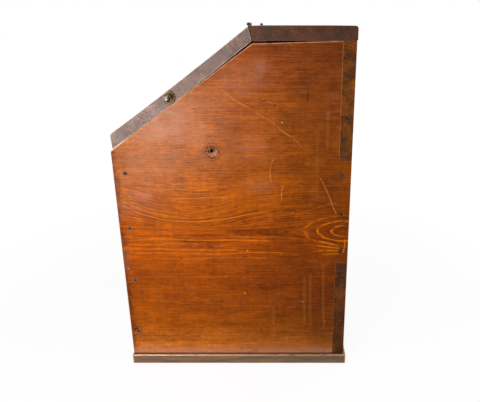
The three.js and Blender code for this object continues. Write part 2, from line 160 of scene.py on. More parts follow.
# Rings, grain and saw marks
FAST_SHARE = 0.22  # the fast bend's sway, as a share of the slow one's
RING_UNEVEN_RATE = 0.4
RING_UNEVEN = 3
RING_RISE = (0.15, 0.88)
RING_FALL = (1, 0.9)
FAINTEST_RING = 0.3
GRAIN_PITCH = 0.0019
GRAIN_LENGTH = 0.07
PORE_RANGE = (0.6, 0.7)
SAW_LEAN = math.radians(14)
SAW_PITCH = 0.0031
SAW_SWAY = 0.0016
SAW_RISE = (0.1, 0.45)
SAW_FALL = (0.95, 0.6)
SAW_BREAK_RANGE = (0.34, 0.6)
SAW_FAINTEST = 0.35

# What moves a face from its light to its deep colour
RING_DEPTH = 0.5
GRAIN_DEPTH = 1.3
FIBRE_DEPTH = 0.9
STREAK_DEPTH = 0.25
CLOUD_DEPTH = 0.26
PORE_DEPTH = 0.4
FACE_DEPTH = 0.28

# The same on the end grain, where the last two keep the mean as the marks come in
SPECK_DEPTH = 1.0
BLOTCH_DEPTH = 0.9
END_DEPTH = 0.45
RING_MEAN = 0.35
SAW_MEAN = 0.25
STAIN_RANGE = (0.42, 0.6)
END_STAIN_SHARE = 0.62

# Dirt, darkening towards the foot and the back, wear and relief of the wood
FOOT_TOP = 0.4
BACK_START = 0.02
BACK_END = 0.2
DIRT_RANGE = (0.52, 0.72)
RUB_RANGE = (0.32, 0.55)
LEAST_RUB = 0.25
CLOUD_ROUGHNESS = 0.1
FIBRE_ROUGHNESS = 0.08
END_ROUGHNESS = 0.04
RING_RELIEF = -0.5
FIBRE_RELIEF = 0.8
PORE_RELIEF = -0.7
RELIEF_HEIGHT = 0.0002
WOOD_RELIEF = 0.5
METAL_RELIEF = 0.25
INSIDE_SPARE = 0.0003
LID_TURN = (0.7, 0.5)

# Marks on the right side, placed by pixels of the photograph
PX = 0.00134  # metres to a pixel there
SCRATCH_WIDTH = 0.001
DOT_RAG = 0.0011
RAG_SIZE = 0.0016
CORE_SHARE = 0.25  # a stroke or dot is at full strength within this share of its reach
STROKE_END = 0.06
LEAST_CLIMB = 1e-6
LIGHT_SCRATCHES = [  # strength, and pixels that the line goes through
    (0.8, [(214, 83), (227, 94), (236, 101), (249, 108), (260, 115), (270, 121), (285, 133), (295, 140),
           (305, 151)]),
    (0.5, [(211, 93), (212, 96), (214, 99)]),
    (0.5, [(183.5, 140), (182.5, 145)]),
    (0.3, [(191, 143), (188, 147), (185, 153)]),
    (0.9, [(267, 102), (269, 101.5), (271, 102.5), (272.5, 105)]),
    (0.7, [(274, 159), (271, 165), (270, 172), (270.5, 178), (271.5, 183)]),
    (0.8, [(283.8, 185), (282, 190), (281.5, 195), (282.3, 200)]),
    (0.4, [(304, 164), (309, 164), (314, 164.5), (318, 167)]),
    (0.85, [(319.5, 177), (325, 187), (330, 199), (333, 207), (337, 215)]),
    (0.4, [(237, 178), (239, 181), (242, 182.5)]),
    (0.35, [(246, 74), (249, 72.5), (253, 73.5)]),
]
DARK_SCRATCHES = [
    (0.7, [(307.5, 88), (307.8, 95), (307.4, 102)]),
    (0.7, [(191.5, 108.7), (197, 109.1)]),
]
SMEARS = [
    (0.13, [(274, 306), (273.6, 320), (274, 341)]),
    (0.15, [(304.5, 275), (304.2, 300), (304.6, 326)]),
    (0.15, [(310.5, 272), (310.2, 300), (310.6, 328)]),
    (0.18, [(323.5, 262), (323.2, 300), (323.6, 330)]),
    (0.18, [(328.4, 116), (327.6, 130), (327, 151)]),
    (0.12, [(318, 130), (317, 160), (318, 200)]),
]
SMEAR_WIDTH = 0.0034
SMEAR_SHARE = 0.6
BOWL_LINE = [
    (118, 202), (130, 209), (140, 213.5), (150, 216.5), (165, 220), (180, 221.5), (198, 221.5),
    (215, 220.3), (231, 218), (250, 214.3), (268, 211.5),
]
GRAIN_LINES = [
    (0.4, [(118, 194), (130, 201), (142, 206), (158, 210.5), (180, 213)]),
    (0.35, [(119, 199), (134, 206.5), (150, 212), (170, 216), (190, 217.5)]),
    (0.5, [(125, 241), (140, 240), (165, 239), (200, 240.5), (240, 240), (275, 243)]),
    (0.4, [(126, 244.5), (150, 244.5), (185, 243.5), (200, 244.5)]),
    (0.45, [(126, 249.5), (150, 249), (200, 250), (240, 249)]),
    (0.4, [(128, 253.5), (160, 253), (215, 254), (260, 252.5), (290, 254)]),
    (0.3, [(150, 258), (190, 258.5), (230, 257.5), (270, 259)]),
    (0.35, [(150, 190), (175, 189.5), (200, 190.5), (220, 190)]),
    (0.3, [(140, 184), (165, 184.5), (195, 183.5), (220, 184.5)]),
    (0.35, [(170, 198), (190, 198.5), (215, 197.5), (228, 198)]),
    (0.7, [(318, 241), (328, 243), (338, 245.5)]),
    (0.7, [(316, 245.5), (328, 247), (340, 248.5)]),
    (0.6, [(318, 250.5), (330, 250.5), (339, 251)]),
    (0.45, [(322, 254.5), (332, 254), (339, 253.5)]),
    (0.7, [(344, 239), (344.8, 244), (344, 249), (342.5, 253)]),
    (0.2, [(296, 216), (310, 210), (325, 205.5), (338, 203)]),
]
GRAIN_WIDTH = 0.0017
GRAIN_LINE_SHARE = 1.25
GREY_LINES = [
    (0.5, [(180, 240.5), (190, 241.5), (204, 241)]),
    (0.55, [(180, 246.3), (192, 247), (203, 246.8)]),
    (0.35, [(122, 196.5), (136, 203), (150, 208), (166, 212)]),
    (0.35, [(126, 192), (140, 197.5), (156, 202), (172, 204)]),
    (0.3, [(134, 189), (150, 193.5), (166, 196.5), (180, 197)]),
    (0.3, [(132, 246.5), (150, 246.8), (168, 246.3)]),
    (0.4, [(206, 205.8), (211, 206), (217, 205.7)]),
    (0.3, [(127, 209), (140, 215), (152, 219), (166, 222.5)]),
]
LIGHT_DOTS = [  # place, radius, strength
    (282, 122.5, 1.7, 0.9), (346, 221.5, 1.3, 0.8), (293, 213, 1.2, 0.6), (247.5, 250.7, 1.9, 0.6),
    (245, 293.3, 1.7, 0.8), (302.7, 302, 1.1, 1.0), (324.7, 320.5, 0.9, 0.8), (281.5, 254, 1.3, 0.6),
    (121, 175.5, 1.4, 0.8), (128.5, 268.7, 1.8, 0.6),
]
# The two dots at the hook's hole, (209.9, 151.2) and (212.6, 149.9), paint shade into the hole; the rest are
# pits and dents
DARK_DOTS = [
    (274.7, 105.5, 1.6, 0.85), (212.8, 169, 1.1, 0.8), (285, 84, 0.9, 0.6), (286.2, 150.8, 1.0, 0.8),
    (295, 210.5, 1.2, 0.8), (293, 236, 1.6, 0.5), (316, 257.8, 1.1, 0.7), (248.5, 325.8, 1.1, 0.9),
    (225, 322, 1.3, 0.6), (188, 241, 1.5, 0.4), (228.5, 233.5, 1.6, 0.4), (181.5, 258.5, 2.4, 0.5),
    (145.5, 314.5, 1.6, 0.5), (157.5, 318.5, 1.3, 0.6), (138, 273.5, 1.0, 0.7), (125.3, 252.2, 1.2, 0.8),
    (125.7, 174, 1.3, 0.7), (118.7, 194.5, 1.3, 0.5), (336.5, 324.5, 1.2, 0.8), (335.3, 342, 1.4, 0.9),
    (285.5, 106.5, 1.0, 0.4), (221, 326.5, 1.3, 0.6), (209.9, 151.2, 4.6, 1),
    (212.6, 149.9, 5.2, 1), (136.4, 329.1, 5, 0.85), (138.7, 331.4, 4.8, 0.9),
]
CLOUDS = [  # dark smudges: place, half width, half height, strength
    (150, 205, 24, 8, 0.22), (333, 84, 8, 5, 0.4), (334, 105, 7, 24, 0.3), (118, 190, 5, 14, 0.25),
    (335, 190, 9, 18, 0.3), (125, 300, 5, 40, 0.08), (322, 300, 16, 34, 0.2), (300, 248, 14, 8, 0.2),
    (280, 315, 12, 7, 0.35), (186, 243, 16, 5, 0.35), (170, 262, 14, 6, 0.22), (232, 324, 26, 4, 0.35),
    (331, 62, 22, 14, 0.25), (304, 95, 14, 22, 0.16), (262, 264, 24, 10, 0.14), (300, 280, 30, 22, 0.18),
]
PAINTED_SHEEN_AND_PALE_PATCHES = [  # pale smudges: the first six, on the upper left and down the left, are a painted sheen of the key light; the rest are paler patches in the varnish
    (152, 114, 34, 24, 0.5), (176, 128, 62, 48, 0.24), (122, 260, 8, 24, 0.18), (140, 196, 16, 7, 0.14),
    (140, 174, 32, 20, 0.18), (132, 206, 26, 14, 0.16),
    (236, 78, 24, 18, 0.2), (260, 70, 9, 12, 0.2), (250, 150, 26, 14, 0.1), (262, 186, 16, 10, 0.1),
    (321.5, 78.5, 4, 4, 0.1), (328.3, 114, 2.6, 3, 0.2), (336, 96, 4, 5, 0.08),
]
HOOK_PX = (211.7, 152)
HOOK_CHIP_PX = (216, 153.5)
HOOK_CHIP_REACH = (0.005, 0.002)
HOOK_RADIUS = 0.0094
HOOK_SWAY = 0.005
HOOK_WORN_SHARE = 0.9
INNER_RIM = (1, 0.0016, 0.95)  # its place in hook radii, its width in metres, its strength
OUTER_RIM = (1.45, 0.001, 0.5)
# Painted shade in the hook's hole, out to these shares of its radius
BORE_SHADE_REACH = (0.9, 0.7)
BOWL_PX = (195, 222)
BOWL_DROP = 20  # in pixels, as the next three
BOWL_HALF_WIDTH = 66
BOWL_ABOVE = 78
BOWL_BELOW = 17
BOWL_LINE_WIDTH = 0.0012
BOWL_LIGHT = 0.55
BOWL_SHADE = 0.45
BOWL_SHADE_RISE = 1.6
KNOT_PX = (347, 231)
KNOT_REACH = (46, 20)  # in pixels
KNOT_PUSH = 0.012
KNOT_FLATNESS = 2.6
ARC_STEP = 0.0222
ARC_SWAY = 0.007
KNOT_FADE = (4.2, 2.2)
KNOT_DEPTH = 0.1
ARC_RISE = (0, 0.14)
ARC_FALL = (0.4, 0.16)
ARC_FADE_OUT = (3.6, 2.6)
ARC_FADE_IN = (0.7, 1)
ARC_DEPTH = -0.75
ARC_TONE = 1.6
ARC_AMBER = 0.6
AMBER_PX = 228
AMBER_REACH = 0.045
PLAIN_CONTRAST = 0.5
AMBER_CONTRAST = 0.6
KNOT_CONTRAST = -0.6
# Darker towards the back of the right side: partly the wood's own tone, partly painted shade where the key
# light falls off
FAR_PX = (190, 345)
FAR_SHADE = 0.53

# Tones of the right side
TONE_SWAY = 0.04
PATCH_TONES = (0.84, 1.12)
RUB_SIZE = (0.007, 0.09)
RUB_TONES = (0.94, 1.06)
BLOT_TONES = (0.88, 1.1)
FRONT_EDGE_SWAY = 0.016
FRONT_EDGE_REACH = 0.011
FRONT_EDGE_SHADE = 0.6
SMUDGE_SPREAD = (0.4, 1.4)
# A painted sheen along the foot of the right side
PAINTED_FOOT_SHEEN_REACH = 0.02
PAINTED_FOOT_SHEEN = 0.36
NAIL_RING_REACH = (0.0052, 0.0034)
NAIL_RING_SHARE = 0.55
OUTER_TURN = (0.3, 0.7)
SEAM_PX = (336, 152)
SEAM_FADE_PX = (3, 10)
HIGH_SEAM_WEAR = 0.7
LEAST_WEAR = 0.2
# Pale lines along the right side's top and slant edges: worn wood, and a painted highlight where the arris
# catches the light
EDGE_ALIGNMENT = 0.97
EDGE_REACH = 0.002
EDGE_CORE = 0.4
EDGE_SHARE = 0.8


def tint(red, green, blue):
    """A screen colour, from 0 to 255, turned into the linear one that a material takes."""
    def linear(part):
        share = part / 255
        return share / 12.92 if share <= 0.04045 else ((share + 0.055) / 1.055) ** 2.4
    return (linear(red), linear(green), linear(blue), 1)


def new_object(name, data):
    thing = bpy.data.objects.new(name, data)
    bpy.context.scene.collection.objects.link(thing)
    return thing


def middle(node):
    low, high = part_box(node)
    return (low + high) / 2


SIDE_LOW, SIDE_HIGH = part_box("side_panel_right")
RIGHT_FACE_X = SIDE_HIGH.x


def side_place(pixel):
    """Where the sight line through a pixel of the photograph meets the right side: (y, z)."""
    ahead = Vector((-math.cos(CAMERA_TIP), 0, -math.sin(CAMERA_TIP)))
    down = ahead.cross(Y)
    across_px = pixel[0] - CENTRE_PX[0]
    down_px = pixel[1] - CENTRE_PX[1]
    line = ahead * FOCAL_PX + Y * across_px + down * down_px
    place = CAMERA_PLACE + line * ((RIGHT_FACE_X - CAMERA_PLACE.x) / line.x)
    return place.y, place.z


def side_height(pixel_y):
    return side_place((CENTRE_PX[0], pixel_y))[1]


def side_setback(pixel_x):
    return side_place((pixel_x, CENTRE_PX[1]))[0]


# Node trees

class Nodes:
    """A material's node tree. Most calls add a node and return its output socket."""

    def __init__(self, tree):
        self.tree = tree

    def add(self, kind, inputs=(), **settings):
        node = self.tree.nodes.new("ShaderNode" + kind)
        for name, value in settings.items():
            setattr(node, name, value)
        for key, value in dict(inputs).items():
            self.feed(node.inputs[key], value)
        return node

    def feed(self, socket, value):
        if isinstance(value, bpy.types.NodeSocket):
            self.tree.links.new(value, socket)
        else:
            socket.default_value = value

    def math(self, operation, *values):
        node = self.add("Math", operation=operation)
        for socket, value in zip(node.inputs, values):
            self.feed(socket, value)
        return node.outputs[0]

    def vector_math(self, operation, *values):
        node = self.add("VectorMath", operation=operation)
        for socket, value in zip(node.inputs, values):
            self.feed(socket, value)
        return node

    def scaled(self, vector, factor):
        return self.add("VectorMath", {0: vector, "Scale": factor}, operation="SCALE").outputs[0]

    def dot(self, first, second):
        return self.vector_math("DOT_PRODUCT", first, second).outputs["Value"]

    def distance(self, first, second):
        return self.vector_math("DISTANCE", first, second).outputs["Value"]

    def folded(self, operation, values):
        total = values[0]
        for value in values[1:]:
            total = self.math(operation, total, value)
        return total

    def sum(self, *values):
        return self.folded("ADD", values)

    def product(self, *values):
        return self.folded("MULTIPLY", values)

    def most(self, *values):
        return self.folded("MAXIMUM", values)

    def minus(self, first, second):
        return self.math("SUBTRACT", first, second)

    def swing(self, value, reach):
        """A field about one half, turned into one about zero that swings by `reach`."""
        return self.product(self.minus(value, 0.5), 2 * reach)

    def bell(self, *offsets):
        """One where every offset is nothing, falling smoothly to nothing past one."""
        squares = [self.product(offset, offset) for offset in offsets]
        return self.math("EXPONENT", self.product(self.sum(*squares), -1))

    def offset(self, value, centre, reach):
        """How far a value lies from a centre, as a share of `reach`."""
        return self.product(self.minus(value, centre), 1 / reach)

    def combine(self, x, y, z):
        return self.add("CombineXYZ", {"X": x, "Y": y, "Z": z}).outputs[0]

    def separate(self, vector):
        return self.add("SeparateXYZ", {"Vector": vector}).outputs

    def ramp(self, value, low, high, to_low=0, to_high=1, **settings):
        """A straight step from `to_low` at `low` to `to_high` at `high`, held at its ends."""
        inputs = {"Value": value, "From Min": low, "From Max": high, "To Min": to_low, "To Max": to_high}
        return self.add("MapRange", inputs, **settings).outputs[0]

    def step(self, value, low, high, to_low=0, to_high=1):
        """The same with a smooth step. `high` may be the smaller of the two."""
        return self.ramp(value, low, high, to_low, to_high, interpolation_type="SMOOTHSTEP")

    def noise(self, place, detail=3, roughness=0.5):
        """Noise about one half, with lumps about one unit of `place` in size."""
        inputs = {"Vector": place, "Scale": 1, "Detail": detail, "Roughness": roughness}
        return self.add("TexNoise", inputs).outputs[0]

    def bump(self, height, strength):
        inputs = {"Strength": strength, "Distance": RELIEF_HEIGHT, "Height": height}
        return self.add("Bump", inputs).outputs[0]

    def mix(self, share, first, second, blend="MIX"):
        node = self.add("Mix", data_type="RGBA", blend_type=blend, clamp_factor=True)
        self.feed(node.inputs[0], share)
        self.feed(node.inputs[6], first)
        self.feed(node.inputs[7], second)
        return node.outputs[2]

    def object_place(self):
        return self.add("TexCoord").outputs["Object"]

    def object_normal(self):
        return self.add("TexCoord").outputs["Normal"]

    def arris(self, reach):
        """One on the arrises, fading to nothing over `reach`."""
        rounded = self.add("Bevel", {"Radius": reach}, samples=ARRIS_SAMPLES).outputs[0]
        true = self.add("NewGeometry").outputs["Normal"]
        return self.step(self.dot(rounded, true), *ARRIS_TURN)


def new_material(name, **constants):
    """A material with these constants on its shader, its nodes, and the shader itself."""
    material = bpy.data.materials.new(name)
    material.use_nodes = True
    shader = material.node_tree.nodes["Principled BSDF"]
    for key, value in constants.items():
        shader.inputs[key.replace("_", " ")].default_value = value
    return material, Nodes(material.node_tree), shader


# Wood

@dataclass
class Timber:
    """How a board lay in its tree, in metres from the board's middle."""
    board: str
    along: Vector  # the way the grain runs
    across: Vector  # the board's width
    pith_across: float
    pith_depth: float
    ring: float = 0.0028
    sway: float = 0.004
    seed: float = 0
    figure: Callable = None  # bends the grain: the place across, a push on the rings, their contrast


@dataclass
class Finish:
    """The colours of a board, and how it shines."""
    light: tuple
    deep: tuple
    end_light: tuple
    end_deep: tuple
    worn: tuple
    roughness: float = 0.28
    gloss: float = 0.085
    gloss_tint: tuple = (1, 0.9, 0.66, 1)
    wear: float = 0.85
    grime: float = 0.12
    end_rings: float = 0.9
    saw_marks: float = 0
    foot_shade: float = 0
    back_shade: float = 0
    end_stain: tuple = None  # an older stain that shows in patches on the end grain


class Wood:
    """The fields that a board's material is mixed from."""

    def __init__(self, nodes, timber):
        self.nodes = nodes
        self.timber = timber
        self.place = nodes.object_place()
        self.normal = nodes.object_normal()
        offset = nodes.vector_math("SUBTRACT", self.place, middle(timber.board)).outputs[0]
        self.along = nodes.dot(offset, timber.along)
        self.across = nodes.dot(offset, timber.across)
        self.through = nodes.dot(offset, timber.along.cross(timber.across))
        self.end = nodes.step(nodes.math("ABSOLUTE", nodes.dot(self.normal, timber.along)), *END_TURN)
        self.push = 0
        self.contrast = 1
        if timber.figure:
            self.across, self.push, self.contrast = timber.figure(self)
        self.board_place = nodes.combine(self.along, self.across, self.through)
        self.pith_distance = self.make_pith_distance()
        self.rings = self.make_rings()
        self.grain = self.make_grain()
        self.fibre = self.noise(FIBRES, 4, 0.7)
        self.pores = nodes.step(self.noise(PORES, 2), *PORE_RANGE)
        self.cloud = self.noise(CLOUDINESS, 4, 0.6)

    def noise(self, size, detail=3, roughness=0.5):
        """A noise in the board's own place, drawn out along the grain."""
        along, across, shift = size
        inputs = {
            "Vector": self.board_place,
            "Location": (self.timber.seed + shift, shift, 0),
            "Scale": (1 / along, 1 / across, 1 / across),
        }
        return self.nodes.noise(self.nodes.add("Mapping", inputs).outputs[0], detail, roughness)

    def rounded_edge(self):
        """One where the surface faces between two of the board's own directions."""
        nodes = self.nodes
        timber = self.timber
        directions = (timber.along, timber.across, timber.along.cross(timber.across))
        closest = nodes.most(*[nodes.math("ABSOLUTE", nodes.dot(self.normal, line)) for line in directions])
        return nodes.step(closest, *EDGE_TURN)

    def make_pith_distance(self):
        nodes = self.nodes
        timber = self.timber
        slow = nodes.swing(self.noise(SLOW_BEND, 2), timber.sway)
        fast = nodes.swing(self.noise(FAST_BEND, 2), FAST_SHARE * timber.sway)
        wide = nodes.minus(nodes.sum(self.across, slow, fast), timber.pith_across)
        deep = nodes.minus(self.through, timber.pith_depth)
        radius = nodes.math("SQRT", nodes.sum(nodes.product(wide, wide), nodes.product(deep, deep)))
        return nodes.minus(radius, self.push)

    def make_rings(self):
        """Annual rings: rising slowly to the dark late wood, then falling at once."""
        nodes = self.nodes
        turns = nodes.math("DIVIDE", self.pith_distance, self.timber.ring)
        uneven_place = nodes.combine(nodes.product(turns, RING_UNEVEN_RATE), self.timber.seed, 0)
        uneven = nodes.noise(uneven_place, 2)
        share = nodes.math("FRACT", nodes.sum(turns, nodes.product(uneven, RING_UNEVEN)))
        rise = nodes.step(share, *RING_RISE)
        fall = nodes.step(share, *RING_FALL)
        patchy = nodes.step(self.noise(RING_PATCHES), *NOISE_RANGE, FAINTEST_RING, 1)
        return nodes.product(rise, fall, patchy)

    def make_grain(self):
        """Fine lines that follow the rings, unlike one another in depth and length."""
        nodes = self.nodes
        turns = nodes.math("DIVIDE", self.pith_distance, GRAIN_PITCH)
        along = nodes.math("MULTIPLY_ADD", self.along, 1 / GRAIN_LENGTH, self.timber.seed)
        return nodes.noise(nodes.combine(along, turns, 0), 4, 0.65)

    def saw_lines(self):
        """Fine dark lines that a saw left across the board's ends."""
        nodes = self.nodes
        wobble = nodes.swing(self.noise(SAW_WOBBLE, 2), SAW_SWAY)
        run = nodes.sum(
            nodes.product(self.across, math.cos(SAW_LEAN)),
            nodes.product(self.through, math.sin(SAW_LEAN)),
            wobble,
        )
        share = nodes.math("FRACT", nodes.product(run, 1 / SAW_PITCH))
        line = nodes.product(nodes.step(share, *SAW_RISE), nodes.step(share, *SAW_FALL))
        breaks = nodes.step(self.noise(SAW_BREAKS, 3, 0.6), *SAW_BREAK_RANGE, SAW_FAINTEST, 1)
        return nodes.product(line, breaks)


def inside_mask(wood):
    """One on the faces that look into the box, which never saw varnish."""
    nodes = wood.nodes
    spare = Vector((INSIDE_SPARE, INSIDE_SPARE, INSIDE_SPARE))
    front_low, front_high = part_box("front_panel")
    back_low, back_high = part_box("back_panel")
    low = Vector((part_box("side_panel_left")[1].x, front_high.y, front_low.z)) - spare
    high = Vector((SIDE_LOW.x, back_low.y, back_high.z)) + spare
    above = nodes.separate(nodes.vector_math("SUBTRACT", wood.place, low).outputs[0])
    below = nodes.separate(nodes.vector_math("SUBTRACT", high, wood.place).outputs[0])
    least = nodes.folded("MINIMUM", [*above, *below])
    lid_top = nodes.step(nodes.dot(wood.normal, lid_out), *LID_TURN)
    return nodes.product(nodes.math("GREATER_THAN", least, 0), lid_top)


def largest_normal(node):
    """The normal of the largest upward face of a node."""
    faces = [face for face in cad_nodes[node].data.polygons if face.normal.z > 0.1]
    return max(faces, key=lambda face: face.area).normal.copy()


lid_out = largest_normal("lid_board")
lid_up = lid_out.cross(X)

RAW_LIGHT = tint(190, 142, 88)
RAW_DEEP = tint(132, 86, 46)
GRIME_AND_DARKENING = tint(40, 24, 14)


def face_depth(wood):
    """How far a face goes from its light to its deep colour."""
    nodes = wood.nodes
    return nodes.sum(
        nodes.product(wood.rings, wood.contrast, RING_DEPTH),
        nodes.product(nodes.swing(wood.grain, GRAIN_DEPTH), wood.contrast),
        nodes.swing(wood.fibre, FIBRE_DEPTH),
        nodes.swing(wood.noise(STREAKS, 3, 0.6), STREAK_DEPTH),
        nodes.swing(wood.cloud, CLOUD_DEPTH),
        nodes.product(wood.pores, PORE_DEPTH),
        FACE_DEPTH,
    )


def end_grain(wood, finish):
    """The colour of the board's ends: rings, saw marks, specks and blotches, and an older stain."""
    nodes = wood.nodes
    speck = wood.noise(SPECKS, 3, 0.65)
    blotch = wood.noise(BLOTCHES, 4, 0.65)
    rings = nodes.product(wood.rings, finish.end_rings)
    saw_lines = nodes.product(wood.saw_lines(), finish.saw_marks) if finish.saw_marks else 0
    depth = nodes.sum(
        rings,
        saw_lines,
        nodes.swing(speck, SPECK_DEPTH),
        nodes.swing(blotch, BLOTCH_DEPTH),
        END_DEPTH - RING_MEAN * finish.end_rings - SAW_MEAN * finish.saw_marks,
    )
    end = nodes.mix(depth, finish.end_light, finish.end_deep)
    if finish.end_stain:
        patches = wood.noise(STAIN_PATCHES, 4, 0.65)
        end = nodes.mix(nodes.step(patches, *STAIN_RANGE, 0, END_STAIN_SHARE), end, finish.end_stain)
    return end


def dirtied_and_darkened(wood, finish, colour):
    """The colour with grime in patches, and darker towards the foot or the back."""
    nodes = wood.nodes
    if finish.foot_shade:
        foot = nodes.step(nodes.separate(wood.place)[2], FOOT_TOP, 0, 0, finish.foot_shade)
        colour = nodes.mix(foot, colour, GRIME_AND_DARKENING)
    if finish.back_shade:
        back = nodes.step(nodes.separate(wood.place)[1], BACK_START, BACK_END, 0, finish.back_shade)
        colour = nodes.mix(back, colour, GRIME_AND_DARKENING)
    dirt = nodes.step(wood.cloud, *DIRT_RANGE)
    return nodes.mix(nodes.product(dirt, finish.grime), colour, GRIME_AND_DARKENING)


def worn_bare(wood, finish, colour, worn_share):
    """The colour with pale wood in patches along the arrises."""
    nodes = wood.nodes
    arris = nodes.most(nodes.arris(WEAR_REACH), wood.rounded_edge())
    rubbed = nodes.step(wood.noise(RUB_PATCHES), *RUB_RANGE, LEAST_RUB, 1)
    return nodes.mix(nodes.product(arris, rubbed, worn_share), colour, finish.worn)


def wood_roughness(wood, finish):
    nodes = wood.nodes
    return nodes.sum(
        finish.roughness,
        nodes.swing(wood.cloud, CLOUD_ROUGHNESS),
        nodes.swing(wood.fibre, FIBRE_ROUGHNESS),
        nodes.product(wood.end, END_ROUGHNESS),
    )


def wood_relief(wood):
    nodes = wood.nodes
    return nodes.sum(
        nodes.product(wood.rings, RING_RELIEF),
        nodes.product(wood.fibre, FIBRE_RELIEF),
        nodes.product(wood.pores, PORE_RELIEF),
    )


def wood_material(timber, finish, paint=None):
    material, nodes, shader = new_material(
        timber.board + "_wood",
        Specular_IOR_Level=finish.gloss,
        Specular_Tint=finish.gloss_tint,
    )
    wood = Wood(nodes, timber)
    depth = face_depth(wood)
    face = nodes.mix(depth, finish.light, finish.deep)
    worn_share = finish.wear
    if paint:
        face, worn_share = paint(wood, depth, face)
    colour = nodes.mix(wood.end, face, end_grain(wood, finish))
    colour = dirtied_and_darkened(wood, finish, colour)
    colour = worn_bare(wood, finish, colour, worn_share)
    colour = nodes.mix(inside_mask(wood), colour, nodes.mix(depth, RAW_LIGHT, RAW_DEEP))
    nodes.feed(shader.inputs["Base Color"], colour)
    nodes.feed(shader.inputs["Roughness"], wood_roughness(wood, finish))
    nodes.feed(shader.inputs["Normal"], nodes.bump(wood_relief(wood), WOOD_RELIEF))
    return material


# The right side's own figure and marks, which the photograph shows

def right_side_figure(wood):
    """A hanging bowl in the grain at the left, and a knot's swirl at the right."""
    nodes = wood.nodes
    _, y, z = nodes.separate(wood.place)
    bowl_y, bowl_z = side_place(BOWL_PX)
    across = nodes.offset(y, bowl_y, BOWL_HALF_WIDTH * PX)
    below = nodes.step(z, bowl_z - BOWL_BELOW * PX, bowl_z)
    above = nodes.step(z, bowl_z + BOWL_ABOVE * PX, bowl_z)
    drop = nodes.product(nodes.bell(across), below, above, BOWL_DROP * PX)
    knot_y, knot_z = side_place(KNOT_PX)
    reach_y = nodes.offset(y, knot_y, KNOT_REACH[0] * PX)
    reach_z = nodes.offset(z, knot_z, KNOT_REACH[1] * PX)
    swirl = nodes.bell(reach_y, reach_z)
    band = nodes.bell(nodes.offset(z, side_height(AMBER_PX), AMBER_REACH))
    amber = nodes.product(band, AMBER_CONTRAST)
    contrast = nodes.sum(PLAIN_CONTRAST, amber, nodes.product(swirl, KNOT_CONTRAST))
    return nodes.sum(wood.across, drop), nodes.product(swirl, KNOT_PUSH), contrast


def knot_arcs(wood, y, z):
    """Bright arcs round the knot, closed towards the front, and how near the knot is."""
    nodes = wood.nodes
    knot_y, knot_z = side_place(KNOT_PX)
    wobble = nodes.swing(wood.noise(ARC_WOBBLE, 3, 0.6), ARC_SWAY)
    across = nodes.minus(y, knot_y)
    up = nodes.product(nodes.minus(z, knot_z), KNOT_FLATNESS)
    radius = nodes.math("SQRT", nodes.sum(nodes.product(across, across), nodes.product(up, up)))
    turns = nodes.product(nodes.sum(radius, wobble), 1 / ARC_STEP)
    share = nodes.math("FRACT", turns)
    arc_line = nodes.product(nodes.step(share, *ARC_RISE), nodes.step(share, *ARC_FALL))
    near = nodes.product(nodes.step(turns, *ARC_FADE_OUT), nodes.step(turns, *ARC_FADE_IN))
    uneven = nodes.step(wood.noise(ARC_BREAKS), 0.36, 0.62, 0.15, 1)
    return nodes.product(arc_line, near, uneven), nodes.step(turns, *KNOT_FADE)


def stroke_mask(nodes, y, z, pixels, width):
    """A line through pixels of the photograph, fading at its ends."""
    ys, zs = zip(*[side_place(pixel) for pixel in pixels])
    lies_flat = max(ys) - min(ys) > max(zs) - min(zs)
    runs, rises = (ys, zs) if lies_flat else (zs, ys)
    run, rise = (y, z) if lies_flat else (z, y)
    first, last, lowest = min(runs), max(runs), min(rises)
    climb = max(max(rises) - lowest, LEAST_CLIMB)
    share = nodes.ramp(run, first, last)
    line = nodes.add("FloatCurve", {"Value": share})
    points = line.mapping.curves[0].points
    spots = sorted(((a - first) / (last - first), (b - lowest) / climb) for a, b in zip(runs, rises))
    points[0].location, points[1].location = spots[0], spots[-1]
    for spot in spots[1:-1]:
        points.new(*spot)
    line.mapping.update()
    height = nodes.math("MULTIPLY_ADD", line.outputs[0], climb, lowest)
    gap = nodes.math("ABSOLUTE", nodes.minus(rise, height))
    ends = nodes.product(nodes.step(share, 0, STROKE_END), nodes.step(share, 1, 1 - STROKE_END))
    return nodes.product(nodes.step(gap, width, CORE_SHARE * width), ends)


def strokes(nodes, y, z, table, width):
    """All the strokes of a table, each with its own strength."""
    total = 0
    for strength, pixels in table:
        total = nodes.most(total, nodes.product(stroke_mask(nodes, y, z, pixels, width), strength))
    return total


def dots(nodes, ragged, table):
    """Round marks at pixels of the photograph, with a ragged rim."""
    total = 0
    for x_px, y_px, radius_px, strength in table:
        radius = radius_px * PX
        gap = nodes.distance(ragged, (*side_place((x_px, y_px)), 0))
        total = nodes.most(total, nodes.step(gap, radius, CORE_SHARE * radius, 0, strength))
    return total


def smudges(nodes, y, z, table):
    """Soft patches at pixels of the photograph."""
    total = 0
    for x_px, y_px, wide, tall, strength in table:
        place_y, place_z = side_place((x_px, y_px))
        across = nodes.offset(y, place_y, wide * PX)
        up = nodes.offset(z, place_z, tall * PX)
        total = nodes.sum(total, nodes.product(nodes.bell(across, up), strength))
    return total


